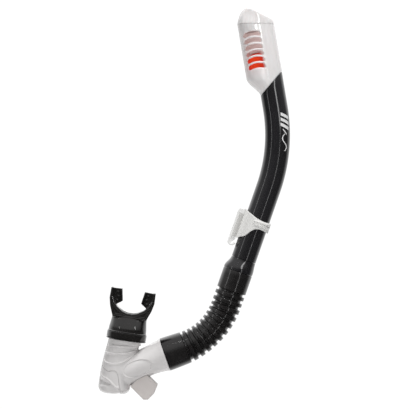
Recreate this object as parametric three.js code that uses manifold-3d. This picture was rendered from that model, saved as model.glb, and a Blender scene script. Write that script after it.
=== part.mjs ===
// Dry-top snorkel: float-valve cap, rigid upper tube, corrugated hose, purge housing and mouthpiece.
// Millimetres, +Z up. The object lies in the XZ plane and is a mirror image of itself across it.
// The origin is the centre of the slot that the mask strap passes through.
import * as THREE from "three";
import { mergeVertices } from "three/addons/utils/BufferGeometryUtils.js";
import Module from "manifold-3d";

const wasm = await Module();
wasm.setup();

// ---- Driving dimensions -------------------------------------------------------------------
const ROUND = 24; // sides of the large round sections
const FINE = 18; // sides of the small round sections
const GAP = 0.3; // between touching pieces
const WALL = 1.8; // moulded shells
const LIP = 1.2; // thin rims that locate a lid or cover
const THROUGH = 80; // a cutter that passes right through

// Lean: how far a piece's own up axis tips towards +X, in degrees.
const CAP_LEAN = -9.5;
const TUBE_LEAN = 19.2;
const HOSE_END_LEAN = 70.5;
const MOUTH_LEAN = 9;
const PURGE_LEAN = -45;

// Upper tube, walked down from the point where the slanted cap joint crosses its axis.
const TUBE_R = 13.8;
const BORE_R = 10.6;
const SPIGOT_R = 12;
const JOINT_SLOPE = Math.tan(THREE.MathUtils.degToRad(39.8));
const CAP_SPIGOT_RISE = 13;
const TUBE_LEGS = [{ length: 27.3 }, { length: 88.9, turn: TUBE_LEAN - CAP_LEAN }, { length: 97.8 }];
const TUBE_LENGTH = total(TUBE_LEGS);
const FLARE_LENGTH = 14;
const SOCKET_DEPTH = 10;
const FLARE_ASIDE = 1.6; // the hose end of the tube is set this far towards the front
const KEEPER_FROM_TOP = 153.9; // along the tube

// Corrugated hose
const HOSE_R = 16.5;
const HOSE_END_R = 18.7;
const HOSE_LEGS = [{ length: 38 }, { length: 71.6, turn: HOSE_END_LEAN - TUBE_LEAN }, { length: 20.1 }];
const HOSE_LENGTH = total(HOSE_LEGS);
const HOSE_SPIGOT_R = 13.4;
const HOSE_SPIGOT_LENGTH = 19;
const GROOVES = 12;
const GROOVE_PITCH = 7.25;
const FIRST_GROOVE = 24;
const GROOVE_DEPTH = 2;

// Cap: egg-shaped section, a circle of the tube's radius joined to a larger one in front of it.
const EGG_OFFSET = 10.1;
const EGG_EXTRA_R = 2.2;
const EGG_SPLIT = EGG_EXTRA_R / EGG_OFFSET;
const FUNNEL_LOW = -12;
const FUNNEL_HIGH = 9.5;
const CAP_SEAM = 67;
const CAP_TOP = 86;
const ROOF_FALL = { from: -11.8, slope: 0.705 }; // where the roof starts to fall, and how steeply
const LID_WALL = 2.4;
const LID_CORNER = 7.5;
const SLOTS = 6;
const SLOT_PITCH = 7.1;
const LOWEST_SLOT = 20.4;
const SLOT_HEIGHT = 4.6;
const SLOT_FROM = -22;
const SLOT_TO = -3.4;
const FLOAT_CENTRE = -13;
const CHAMBER_FLOOR = 12.2;
const SEAT_UNDERSIDE = 59.6;
const FLOAT_TOP = 35.4;
const FLOAT_R = 8.4;
const FLOAT_WALL = 1.2;
const FLOAT_CROWN_R = 4.5; // of the flat on top of its dome
const CHAMBER_WALL = 1.4;

// Strap keeper
const KEEPER_R = 15.8;
const KEEPER_RIBS = [-1.1, -4.2]; // their upper edges
const RIB = { width: 1, height: 0.6 };
const STRAP_SLOT = { across: -18.65, along: -12.7, width: 5.5 };
const HOOK_HALF_WIDTH = 9;

// Housing
const ARM_SPIGOT_R = 15.3;
const ARM_LEGS = [{ length: 55, turn: -10.5 }];
const SUMP_START = { x: -124.4, z: -126.6 };
const SUMP_LEAN = 15;
const SUMP_LEGS = [{ length: 25 }, { length: 33, turn: -11 }];
const SUMP_R = 17.5;
const SUMP_CORNER = 7;
const MOUTH_BASE = { x: -122.7, z: -126 };
const STUB_R = 17.2;
const STUB_TOP = 13;
const STUB_BORE_R = 14.2;
const PURGE = { x: -107.6, z: -170.6 };
const PORT_R = 8.6;
const BOSS_R = 10.2;
const DUCT_HALF_DEPTH = 11;
const COVER = { x: -138.9, z: -167 }; // centre of the sump cover's rim
const COVER_LEAN = 49;

// Mouthpiece
const CUFF_R = 22;
const BAND = { low: 1.7, high: 8.2, inner: 20.7, outer: 21.9 };
const BAND_HEAD = { halfWidth: 3.4, height: 1.6 };
const SHIELD_HALF_DEPTH = 12.5;
const TAB_HALF_DEPTH = 1.9;
const LUG_HALF_DEPTH = 4.2;

// ---- Materials ----------------------------------------------------------------------------
const plastic = (color, roughness) => new THREE.MeshStandardMaterial({ color, roughness, metalness: 0 });
const WHITE = plastic(0xdedcdc, 0.3);
const BLACK_GLOSS = plastic(0x17171a, 0.15);
const BLACK_SILICONE = plastic(0x1b1b1c, 0.4);
const CLEAR = plastic(0xe4e8ea, 0.2);
const FLOAT_RED = plastic(0xe63a1c, 0.35);
const SEAL = plastic(0xd9d2cf, 0.5);

// ---- Tools --------------------------------------------------------------------------------
function radians(degrees) {
  return THREE.MathUtils.degToRad(degrees);
}

function total(legs) {
  return legs.reduce((sum, leg) => sum + leg.length, 0);
}

// A closed geometry as a solid for cutting and joining.
function solid(geometry) {
  const bare = geometry.index ? geometry.toNonIndexed() : geometry.clone();
  bare.deleteAttribute("normal");
  bare.deleteAttribute("uv");
  const merged = mergeVertices(bare, 1e-4);
  const corners = [];
  for (let i = 0; i < merged.index.count; i += 3) {
    const [a, b, c] = [0, 1, 2].map((k) => merged.index.getX(i + k));
    if (a !== b && b !== c && c !== a) corners.push(a, b, c);
  }
  const mesh = new wasm.Mesh({
    numProp: 3,
    vertProperties: merged.attributes.position.array,
    triVerts: new Uint32Array(corners),
  });
  return new wasm.Manifold(mesh);
}

function piece(name, body, material) {
  const { vertProperties, triVerts } = body.getMesh();
  const geometry = new THREE.BufferGeometry();
  geometry.setAttribute("position", new THREE.BufferAttribute(vertProperties, 3));
  geometry.setIndex(new THREE.BufferAttribute(triVerts, 1));
  const mesh = new THREE.Mesh(geometry, material);
  mesh.name = name;
  return mesh;
}

// Revolves [radius, height] points about Z.
function revolve(profile, sides = ROUND) {
  const points = profile.map(([r, z]) => new THREE.Vector2(r, z));
  if (THREE.ShapeUtils.area(points) < 0) points.reverse();
  points.push(points[0].clone());
  return new THREE.LatheGeometry(points, sides).rotateX(Math.PI / 2);
}

// A plain cylinder about Z, as [radius, low, high] steps.
function cylinder(radius, low, high, sides = ROUND) {
  return revolve([[0, low], [radius, low], [radius, high], [0, high]], sides);
}

function outlined(points) {
  return new THREE.Shape(points.map(([x, z]) => new THREE.Vector2(x, z)));
}

// An outline in the XZ plane, made thick both ways along Y.
function prism(outline, halfDepth) {
  const shape = outline instanceof THREE.Shape ? outline : outlined(outline);
  const settings = { depth: 2 * halfDepth, bevelEnabled: false, curveSegments: 6 };
  return new THREE.ExtrudeGeometry(shape, settings).translate(0, 0, -halfDepth).rotateX(Math.PI / 2);
}

function block(x0, x1, halfDepth, z0, z1) {
  return prism([[x0, z0], [x1, z0], [x1, z1], [x0, z1]], halfDepth);
}

function edit(geometry, change) {
  const position = geometry.attributes.position;
  const point = new THREE.Vector3();
  for (let i = 0; i < position.count; i++) {
    change(point.fromBufferAttribute(position, i));
    position.setXYZ(i, point.x, point.y, point.z);
  }
  return geometry;
}

// A route in the XZ plane, walked downwards. Each leg is straight or turns evenly along its length.
function route(start, lean, legs) {
  return (distance) => {
    let { x, z } = start;
    let angle = radians(lean);
    let left = distance;
    legs.forEach((leg, index) => {
      const run = index === legs.length - 1 ? left : Math.min(left, leg.length);
      if (leg.turn && run) {
        const radius = leg.length / radians(leg.turn);
        const next = angle + run / radius;
        x += radius * (Math.cos(next) - Math.cos(angle));
        z -= radius * (Math.sin(next) - Math.sin(angle));
        angle = next;
      } else {
        x -= Math.sin(angle) * run;
        z -= Math.cos(angle) * run;
      }
      left -= run;
    });
    return { x, z, angle };
  };
}

// Bends a straight solid about Z onto a route: depth -z becomes distance along it.
function bend(geometry, along, aside = () => 0) {
  return edit(geometry, (p) => {
    const spot = along(-p.z);
    const across = p.x + aside(-p.z);
    p.x = spot.x + across * Math.cos(spot.angle);
    p.z = spot.z - across * Math.sin(spot.angle);
  });
}

function placed(geometry, spot, lean) {
  return geometry.rotateY(radians(lean)).translate(spot.x, 0, spot.z);
}

// A straight or bent skin of revolution from [radius, distance along the route] points.
function skin(profile, sides = ROUND) {
  return revolve(profile.map(([r, s]) => [r, -s]), sides);
}

function steps(from, to, count) {
  return Array.from({ length: count + 1 }, (_, i) => from + ((to - from) * i) / count);
}

function groupAt(spot, lean, ...meshes) {
  const group = new THREE.Group();
  group.position.set(spot.x, 0, spot.z);
  group.rotation.y = radians(lean);
  return group.add(...meshes);
}

// ---- Routes -------------------------------------------------------------------------------
function offset(spot, across, along) {
  const [sine, cosine] = [Math.sin(spot.angle), Math.cos(spot.angle)];
  return { x: spot.x + across * cosine + along * sine, z: spot.z - across * sine + along * cosine };
}

// The keeper stands so that its strap slot is at the origin, and the tube is set through the keeper.
const tubeAngle = { x: 0, z: 0, angle: radians(TUBE_LEAN) };
const keeperSpot = offset(tubeAngle, -STRAP_SLOT.across, -STRAP_SLOT.along);
const unshifted = route({ x: 0, z: 0 }, CAP_LEAN, TUBE_LEGS)(KEEPER_FROM_TOP);
const tubeTop = { x: keeperSpot.x - unshifted.x, z: keeperSpot.z - unshifted.z };
const tubeRoute = route(tubeTop, CAP_LEAN, TUBE_LEGS);
const hoseTop = offset(tubeRoute(TUBE_LENGTH), -FLARE_ASIDE, 0);
const hoseRoute = route(hoseTop, TUBE_LEAN, HOSE_LEGS);
const armTop = hoseRoute(HOSE_LENGTH);
const armRoute = route(armTop, HOSE_END_LEAN, ARM_LEGS);
const sumpRoute = route(SUMP_START, SUMP_LEAN, SUMP_LEGS);

// Everything above (side 1) or below (side -1) the slanted cap joint, raised by `rise`.
function beyondJoint(side, rise) {
  const reach = 40;
  const line = [[-reach, -reach * JOINT_SLOPE + rise], [reach, reach * JOINT_SLOPE + rise]];
  return prism([...line, [reach, side * THROUGH], [-reach, side * THROUGH]], reach);
}

// ---- Upper tube ---------------------------------------------------------------------------
const flareStart = TUBE_LENGTH - FLARE_LENGTH;
const flareShare = (s) => THREE.MathUtils.smoothstep(s, flareStart, TUBE_LENGTH - 2);
const flareAside = (s) => -FLARE_ASIDE * flareShare(s);
const collarSocket = route(tubeRoute(flareStart), TUBE_LEAN, [{ length: 1 }]);

function upperTube() {
  const arcStart = TUBE_LEGS[0].length;
  const stations = steps(arcStart, arcStart + TUBE_LEGS[1].length, 7);
  const end = flareStart - GAP;
  const side = [-16, ...stations, end].map((s) => [TUBE_R, s]);
  const body = solid(bend(skin([[0, -16], ...side, [0, end]]), tubeRoute));
  const cut = solid(placed(beyondJoint(1, 0), tubeTop, CAP_LEAN));
  const spigot = solid(placed(cylinder(SPIGOT_R, -20, 30), tubeTop, CAP_LEAN));
  const spigotCut = solid(placed(beyondJoint(1, CAP_SPIGOT_RISE), tubeTop, CAP_LEAN));
  const ringGroove = placed(oRing(SPIGOT_R - 1.1, SPIGOT_R + 1), tubeTop, CAP_LEAN);
  const socket = skin([[0, -SOCKET_DEPTH], [SPIGOT_R + GAP, -SOCKET_DEPTH], [SPIGOT_R + GAP, 5], [0, 5]]);
  const inside = [-40, ...stations, TUBE_LENGTH].map((s) => [BORE_R, s]);
  const bore = solid(bend(skin([[0, -40], ...inside, [0, TUBE_LENGTH]]), tubeRoute));
  return body.subtract(cut).add(spigot.subtract(spigotCut)).subtract(solid(ringGroove)).subtract(bore)
    .subtract(solid(bend(socket, collarSocket)));
}

// Glued into the tube's end: it swells to the hose's diameter and carries the hose spigot.
function hoseCollar() {
  const stations = steps(flareStart, TUBE_LENGTH - 2, 4);
  const flare = stations.map((s) => [TUBE_R + flareShare(s) * (HOSE_R - TUBE_R), s]);
  const outside = [[0, flareStart], ...flare, [HOSE_R, TUBE_LENGTH], [0, TUBE_LENGTH]];
  const plug = skin([[0, 1 - SOCKET_DEPTH], [SPIGOT_R, 1 - SOCKET_DEPTH], [SPIGOT_R, 2], [0, 2]]);
  const hoseSpigot = placed(cylinder(HOSE_SPIGOT_R, -HOSE_SPIGOT_LENGTH, 3), hoseTop, TUBE_LEAN);
  const inside = [flareStart - 20, ...stations, TUBE_LENGTH + 30].map((s) => [BORE_R, s]);
  const bore = skin([[0, flareStart - 20], ...inside, [0, TUBE_LENGTH + 30]]);
  return solid(bend(skin(outside), tubeRoute, flareAside)).add(solid(bend(plug, collarSocket)))
    .add(solid(hoseSpigot)).subtract(solid(bend(bore, tubeRoute, flareAside)));
}

// A ring square to the tube's axis, low on the spigot, where the spigot is whole all round.
function oRing(inner, outer) {
  const [low, high] = [-3.6, -1.8];
  return revolve([[inner, low], [outer, low], [outer, high], [inner, high]]);
}

// ---- Cap ----------------------------------------------------------------------------------
// Turns a revolved shape into the cap's egg-shaped section, which funnels down to the tube.
function egg(geometry) {
  return edit(geometry, (p) => {
    const share = THREE.MathUtils.smoothstep(p.z, FUNNEL_LOW, FUNNEL_HIGH);
    const radius = Math.hypot(p.x, p.y);
    if (radius < 1e-6 || p.x / radius > EGG_SPLIT) return;
    const grown = (radius + EGG_EXTRA_R * share) / radius;
    p.x = p.x * grown - EGG_OFFSET * share;
    p.y *= grown;
  });
}

const FUNNEL_STATIONS = steps(-16, FUNNEL_HIGH, 7);

// A solid of the cap's section; the radius is the tube side's.
function eggSolid(radius, low, high) {
  const between = FUNNEL_STATIONS.filter((z) => z > low + 0.5 && z < high - 0.5);
  const side = [low, ...between, high].map((z) => [radius, z]);
  return solid(egg(revolve([[0, low], ...side, [0, high]])));
}

function stadium(x0, x1, z, height) {
  const r = height / 2;
  const shape = new THREE.Shape();
  shape.absarc(x1 - r, z, r, -Math.PI / 2, Math.PI / 2);
  shape.absarc(x0 + r, z, r, Math.PI / 2, 1.5 * Math.PI);
  return shape;
}

function capShell() {
  let shell = eggSolid(TUBE_R, -16, CAP_SEAM)
    .subtract(eggSolid(TUBE_R - WALL, 1, CAP_SEAM + 1))
    .subtract(solid(cylinder(SPIGOT_R + GAP, -20, 14)))
    .subtract(solid(beyondJoint(-1, GAP)));
  for (let i = 0; i < SLOTS; i++) {
    const slot = stadium(SLOT_FROM, SLOT_TO, LOWEST_SLOT + i * SLOT_PITCH, SLOT_HEIGHT);
    shell = shell.subtract(solid(prism(slot, THROUGH).translate(0, -THROUGH, 0)));
  }
  return shell;
}

// The roof: high at the front, sloping down towards the tube side, with a rounded edge.
function roof(inset) {
  const low = CAP_SEAM + GAP;
  const top = CAP_TOP - inset;
  const radius = TUBE_R - inset;
  const rim = steps(0, 90, 4).map((angle) => [
    radius - LID_CORNER + LID_CORNER * Math.cos(radians(angle)),
    top - LID_CORNER + LID_CORNER * Math.sin(radians(angle)),
  ]);
  const dome = solid(egg(revolve([[0, low], [radius, low], ...rim, [0, top]])));
  const { from, slope } = ROOF_FALL;
  const far = from + THROUGH;
  const above = [[from, top], [far, top - slope * THROUGH], [far, top + THROUGH], [from, top + THROUGH]];
  return dome.subtract(solid(prism(above, THROUGH)));
}

function capLid() {
  const radius = TUBE_R - WALL - GAP;
  const skirt = eggSolid(radius, CAP_SEAM - 3.5, CAP_SEAM + 2)
    .subtract(eggSolid(radius - LIP, CAP_SEAM - 5, CAP_SEAM + 4));
  const hollow = roof(LID_WALL).add(eggSolid(radius - LIP, CAP_SEAM - 2, CAP_SEAM + 0.6));
  return roof(0).add(skirt).subtract(hollow);
}

// Floor, dividing wall and seat plate of the float chamber, in one moulding.
function chamberFrame() {
  const [low, high] = [CHAMBER_FLOOR - CHAMBER_WALL, SEAT_UNDERSIDE + CHAMBER_WALL];
  const room = eggSolid(TUBE_R - WALL - GAP, low, high);
  const [front, back] = [-2.8 - CHAMBER_WALL, -2.8];
  const parts = [
    block(-40, back, 30, low, CHAMBER_FLOOR),
    block(front, back, 30, low, high),
    block(-40, back, 30, SEAT_UNDERSIDE, high),
    block(front - 1.2, front + 0.1, 1.4, CHAMBER_FLOOR - 0.1, SEAT_UNDERSIDE - 1),
  ];
  const frame = parts.map(solid).reduce((all, part) => all.add(part));
  const hole = cylinder(6.9, SEAT_UNDERSIDE - 1, SEAT_UNDERSIDE + 3, FINE).translate(FLOAT_CENTRE, 0, 0);
  return frame.intersect(room).subtract(solid(hole));
}

function valveSeat() {
  const ring = [[5.2, -0.5], [8.2, -0.5], [8.2, -0.3], [6.6, -0.3], [6.6, 2.2], [5.2, 2.2]];
  return solid(revolve(ring, FINE).translate(FLOAT_CENTRE, 0, SEAT_UNDERSIDE));
}

// The hollow float: an oval shell with a domed top, open below.
const floatOval = (geometry) => geometry.scale(0.98, 1.28, 1).translate(FLOAT_CENTRE, 0, 0);

function floatShell() {
  const [low, shoulder] = [CHAMBER_FLOOR + 0.4, FLOAT_TOP - 6];
  const dome = (radius, top) => steps(0, 90, 5).map((angle) => [
    FLOAT_CROWN_R + (radius - FLOAT_CROWN_R) * Math.cos(radians(angle)),
    shoulder + (top - shoulder) * Math.sin(radians(angle)),
  ]);
  const outer = revolve([[0, low], [FLOAT_R, low], ...dome(FLOAT_R, FLOAT_TOP), [0, FLOAT_TOP]], FINE);
  const [radius, top] = [FLOAT_R - FLOAT_WALL, FLOAT_TOP - FLOAT_WALL];
  const inner = [[0, low - 1], [radius, low - 1], ...dome(radius, top), [0, top]];
  const channel = block(-6.2, 0, 1.8, low - 1, FLOAT_TOP + 1);
  return solid(floatOval(outer)).subtract(solid(floatOval(revolve(inner, FINE)))).subtract(solid(channel));
}

function floatPlug() {
  const low = CHAMBER_FLOOR + 0.4;
  const disc = floatOval(cylinder(FLOAT_R - FLOAT_WALL - GAP, low, low + 2, FINE));
  return solid(disc).subtract(solid(block(-7, 0, 2.4, 0, 40)));
}

function cap() {
  const seal = cylinder(6.4, FLOAT_TOP + GAP, FLOAT_TOP + 1.6, FINE).translate(FLOAT_CENTRE, 0, 0);
  return groupAt(
    tubeTop,
    CAP_LEAN,
    piece("cap_shell", capShell(), WHITE),
    piece("cap_lid", capLid(), WHITE),
    piece("chamber_frame", chamberFrame(), WHITE),
    piece("valve_seat", valveSeat(), SEAL),
    piece("float_shell", floatShell(), FLOAT_RED),
    piece("float_plug", floatPlug(), FLOAT_RED),
    piece("float_seal", solid(seal), SEAL),
    piece("cap_oring", solid(oRing(SPIGOT_R - 0.8, SPIGOT_R + 0.1)), BLACK_SILICONE),
  );
}

// ---- Strap keeper -------------------------------------------------------------------------
function keeperClip() {
  const outline = outlined([
    [-17, 7.4], [-15, 7], [-6.9, 3.7], [0.3, 1.5], [7.6, 0.5], [18, 0], [18, -10.6], [13.6, -10], [8.6, -9],
    [4, -9.1], [-0.1, -10.9], [-3.5, -14.4], [-7.3, -20.3], [-11.1, -22.6], [-17, -23.6],
  ]);
  const padFace = STRAP_SLOT.across + STRAP_SLOT.width / 2;
  const sleeve = solid(cylinder(KEEPER_R, -30, 12)).add(solid(block(padFace, -10, HOOK_HALF_WIDTH, -30, 12)));
  const bore = solid(cylinder(TUBE_R + GAP, -40, 20));
  const tubeSide = solid(block(0, 30, 30, -20, 5));
  const body = KEEPER_RIBS.reduce((all, high) => {
    const [low, radius] = [high - RIB.width, KEEPER_R + RIB.height];
    const rib = revolve([[KEEPER_R - 0.5, low], [radius, low], [radius, high], [KEEPER_R - 0.5, high]]);
    return all.add(solid(rib).intersect(tubeSide));
  }, sleeve);
  return body.intersect(solid(prism(outline, 30))).subtract(bore);
}

// J-shaped hook: a top bridge, a plate down the outside of the strap and a turned-in lip.
function strapHook() {
  const inner = STRAP_SLOT.across - STRAP_SLOT.width / 2;
  const padFace = STRAP_SLOT.across + STRAP_SLOT.width / 2 - GAP;
  const [outer, top, turn, reach] = [inner - 2.4, 6.8, -31.2, 4.4];
  const shape = new THREE.Shape();
  shape.moveTo(padFace, top);
  shape.lineTo(outer + 2, top);
  shape.quadraticCurveTo(outer, top, outer, top - 3);
  shape.lineTo(outer, turn);
  shape.absarc(outer + reach, turn, reach, Math.PI, 2 * Math.PI);
  shape.lineTo(outer + 2 * reach - 2, turn);
  shape.absarc(outer + reach, turn, reach - 2, 0, Math.PI, true);
  shape.lineTo(inner, 1.6);
  shape.lineTo(padFace, 1.6);
  shape.closePath();
  return solid(prism(shape, HOOK_HALF_WIDTH));
}

// ---- Hose ---------------------------------------------------------------------------------
const hoseRadius = (s) => HOSE_R + (HOSE_END_R - HOSE_R) * THREE.MathUtils.smoothstep(s, 70, HOSE_LENGTH);

function flexHose() {
  const outside = [[0, GAP], [HOSE_R, GAP], [HOSE_R, FIRST_GROOVE / 2]];
  for (let i = 0; i < GROOVES; i++) {
    const s = FIRST_GROOVE + i * GROOVE_PITCH;
    const r = hoseRadius(s);
    outside.push([r, s - 1.7], [r - GROOVE_DEPTH, s - 0.8], [r - GROOVE_DEPTH, s + 0.8], [r, s + 1.7]);
  }
  outside.push([hoseRadius(118), 118], [HOSE_END_R, HOSE_LENGTH - GAP], [0, HOSE_LENGTH - GAP]);
  const cuffEnd = HOSE_LENGTH - 18 - GAP;
  const inside = [
    [0, -5], [HOSE_SPIGOT_R + GAP, -5], [HOSE_SPIGOT_R + GAP, HOSE_SPIGOT_LENGTH + GAP],
    ...steps(HOSE_SPIGOT_LENGTH + 2, cuffEnd - 2, 9).map((s) => [13, s]),
    [ARM_SPIGOT_R + GAP, cuffEnd], [ARM_SPIGOT_R + GAP, HOSE_LENGTH + 5], [0, HOSE_LENGTH + 5],
  ];
  return solid(bend(skin(outside, FINE), hoseRoute)).subtract(solid(bend(skin(inside, FINE), hoseRoute)));
}

// ---- Housing ------------------------------------------------------------------------------
// The arm, the sump below the mouth and the mouthpiece stub; `grow` moves the whole surface outwards.
function housingForm(grow) {
  const armProfile = [[18.7, 0], [17.4, 8], [16, 18], [15.4, 30], [15.2, 50]];
  const arm = [[0, 0], ...armProfile.map(([r, s]) => [r + grow, s]), [0, 50]];
  const [radius, end] = [SUMP_R + grow, total(SUMP_LEGS) + grow];
  const rim = steps(0, 90, 4).map((angle) => [
    radius - SUMP_CORNER + SUMP_CORNER * Math.cos(radians(angle)),
    end - SUMP_CORNER + SUMP_CORNER * Math.sin(radians(angle)),
  ]);
  const start = -3; // above the mouthpiece's base, which cuts it level
  const sides = steps(start, end - SUMP_CORNER - 4, 5).map((s) => [radius, s]);
  const sump = [[0, start], ...sides, ...rim, [0, end]];
  const clear = CUFF_R + 2;
  const aboveMouthBase = placed(block(-clear, clear, clear, grow - GAP, THROUGH), MOUTH_BASE, MOUTH_LEAN);
  return solid(bend(skin(arm), armRoute))
    .add(solid(bend(skin(sump), sumpRoute)))
    .subtract(solid(aboveMouthBase));
}

function stub(radius, low, high) {
  return solid(placed(cylinder(radius, low, high), MOUTH_BASE, MOUTH_LEAN));
}

function atPurge(geometry) {
  return solid(placed(geometry, PURGE, PURGE_LEAN));
}

// Everything beyond the sump cover's rim, down and to the front; `rise` is along the cover's axis.
function beyondCover(rise) {
  return solid(placed(block(-THROUGH, THROUGH, THROUGH, -THROUGH, rise), COVER, COVER_LEAN));
}

function lowerHousing() {
  const spigot = solid(placed(cylinder(ARM_SPIGOT_R, -4, 18), armTop, HOSE_END_LEAN));
  const passage = solid(placed(cylinder(ARM_SPIGOT_R - 2, -8, 30), armTop, HOSE_END_LEAN));
  const boss = atPurge(cylinder(BOSS_R, -5, 4));
  const shell = housingForm(0).subtract(beyondCover(0)).add(stub(STUB_R, -4, STUB_TOP)).add(spigot).add(boss);
  return shell
    .subtract(housingForm(-WALL).subtract(solid(placed(block(-40, 40, 30, -1.5, 30), armTop, HOSE_END_LEAN))))
    .subtract(stub(STUB_BORE_R, -3, 30))
    .subtract(passage)
    .subtract(atPurge(cylinder(PORT_R, -10, 12)));
}

function sumpCover() {
  const inside = housingForm(-WALL - GAP - LIP);
  const lip = housingForm(-WALL - GAP).subtract(inside).intersect(beyondCover(3));
  const dish = housingForm(0).subtract(inside).intersect(beyondCover(-GAP));
  return dish.add(lip);
}

function purgeSeat() {
  const disc = cylinder(PORT_R - GAP, -2.8, -1.2);
  const windows = [0, 1, 2, 3].map((quarter) => {
    const shape = new THREE.Shape();
    const [from, to] = [radians(14), radians(76)];
    shape.absarc(0, 0, 6.9, from, to);
    shape.absarc(0, 0, 3, to, from, true);
    const window = new THREE.ExtrudeGeometry(shape, { depth: 8, bevelEnabled: false, curveSegments: 4 });
    return atPurge(window.translate(0, 0, -6).rotateZ((quarter * Math.PI) / 2));
  });
  const hole = atPurge(cylinder(1.4, -6, 2, 12));
  return windows.reduce((body, window) => body.subtract(window), atPurge(disc)).subtract(hole);
}

function purgeDiaphragm() {
  const profile = [
    [0, -4.1], [7.8, -3.9], [7.8, -3.5], [1.1, -3.1], [1.1, 0.8], [1.9, 0.9], [1.5, 2.2], [0, 2.5],
  ];
  return atPurge(revolve(profile, FINE));
}

function exhaustDeflector() {
  const outline = [[-11.2, 9], [-11.2, -17.5], [-7.9, -20.8], [2, -20.8], [11, -17.1], [11.2, 6]];
  const inside = block(-9.6, 9.6, DUCT_HALF_DEPTH - 1.6, -30, 20);
  const collar = solid(block(-10, 10, DUCT_HALF_DEPTH - 1, -7, -5.3)).subtract(solid(cylinder(PORT_R, -10, 0)));
  const duct = solid(prism(outline, DUCT_HALF_DEPTH)).subtract(solid(inside)).add(collar);
  const local = duct.rotate([0, PURGE_LEAN, 0]).translate([PURGE.x, 0, PURGE.z]);
  return local.subtract(housingForm(GAP)).subtract(atPurge(cylinder(BOSS_R + GAP, -5 - GAP, 20)))
    .subtract(atPurge(block(-30, 30, 30, 3, 40)));
}

// ---- Mouthpiece ---------------------------------------------------------------------------
// Narrows a revolved shape front to back as it rises to the lips.
function lipOval(geometry, share) {
  return edit(geometry, (p) => {
    p.y *= 1 - share * THREE.MathUtils.smoothstep(p.z, STUB_TOP + 1, 27);
  });
}

function mirrored(points) {
  return [...points, ...points.map(([x, z]) => [-x, z]).reverse()];
}

function mouthpiece() {
  const neck = [
    [0, 0], [CUFF_R, 0], [CUFF_R, BAND.low - GAP], [BAND.inner - GAP, BAND.low - GAP],
    [BAND.inner - GAP, BAND.high + GAP], [CUFF_R, BAND.high + GAP],
    [21.6, 13], [20.4, 19], [18.8, 27.5], [0, 27.5],
  ];
  const bore = [[0, -2], [STUB_R + GAP, -2], [STUB_R + GAP, STUB_TOP + 0.6], [15.2, STUB_TOP + 0.7], [11.5, 24],
    [11.5, 40], [0, 40]];
  const shield = mirrored([
    [18.6, 25.5], [23, 35.5], [24.8, 44], [24.5, 55.5],
    [22.2, 55.5], [21.6, 46], [18.8, 40.2], [14.6, 35.4], [8, 30.9],
  ]);
  const tab = [[23, 55], [12.6, 55.6], [10, 42.2], [16.8, 37.4], [21, 42]];
  const lug = [[15, 55.4], [12.6, 55.6], [10, 42.2], [12, 40.8]];
  const side = (points, sign) => points.map(([x, z]) => [sign * x, z]);
  let body = solid(lipOval(revolve(neck), 0.36)).add(solid(prism(shield, SHIELD_HALF_DEPTH)));
  for (const sign of [-1, 1]) {
    body = body
      .add(solid(prism(side(tab, sign), TAB_HALF_DEPTH)))
      .add(solid(prism(side(lug, sign), LUG_HALF_DEPTH)));
  }
  return body.subtract(solid(lipOval(revolve(bore), 0.4)));
}

function mouthpieceBand() {
  const { low, high, inner, outer } = BAND;
  const ring = solid(revolve([[inner, low], [outer, low], [outer, high], [inner, high]]));
  const head = solid(block(inner + 0.2, outer + BAND_HEAD.height, BAND_HEAD.halfWidth, low, high));
  return ring.add(head.rotate([0, 0, 90]));
}

// ---- Assembly -----------------------------------------------------------------------------
const snorkel = new THREE.Group();
snorkel.add(
  cap(),
  piece("upper_tube", upperTube(), BLACK_GLOSS),
  groupAt(
    keeperSpot,
    TUBE_LEAN,
    piece("keeper_clip", keeperClip(), WHITE),
    piece("strap_hook", strapHook(), CLEAR),
  ),
  piece("hose_collar", hoseCollar(), BLACK_GLOSS),
  piece("flex_hose", flexHose(), BLACK_SILICONE),
  piece("lower_housing", lowerHousing(), WHITE),
  piece("sump_cover", sumpCover(), WHITE),
  piece("purge_seat", purgeSeat(), WHITE),
  piece("purge_diaphragm", purgeDiaphragm(), SEAL),
  piece("exhaust_deflector", exhaustDeflector(), WHITE),
  groupAt(
    MOUTH_BASE,
    MOUTH_LEAN,
    piece("mouthpiece", mouthpiece(), BLACK_SILICONE),
    piece("mouthpiece_band", mouthpieceBand(), BLACK_SILICONE),
  ),
);

export default snorkel;
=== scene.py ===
"""The finished look of a dry-top snorkel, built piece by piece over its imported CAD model."""

import math

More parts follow.
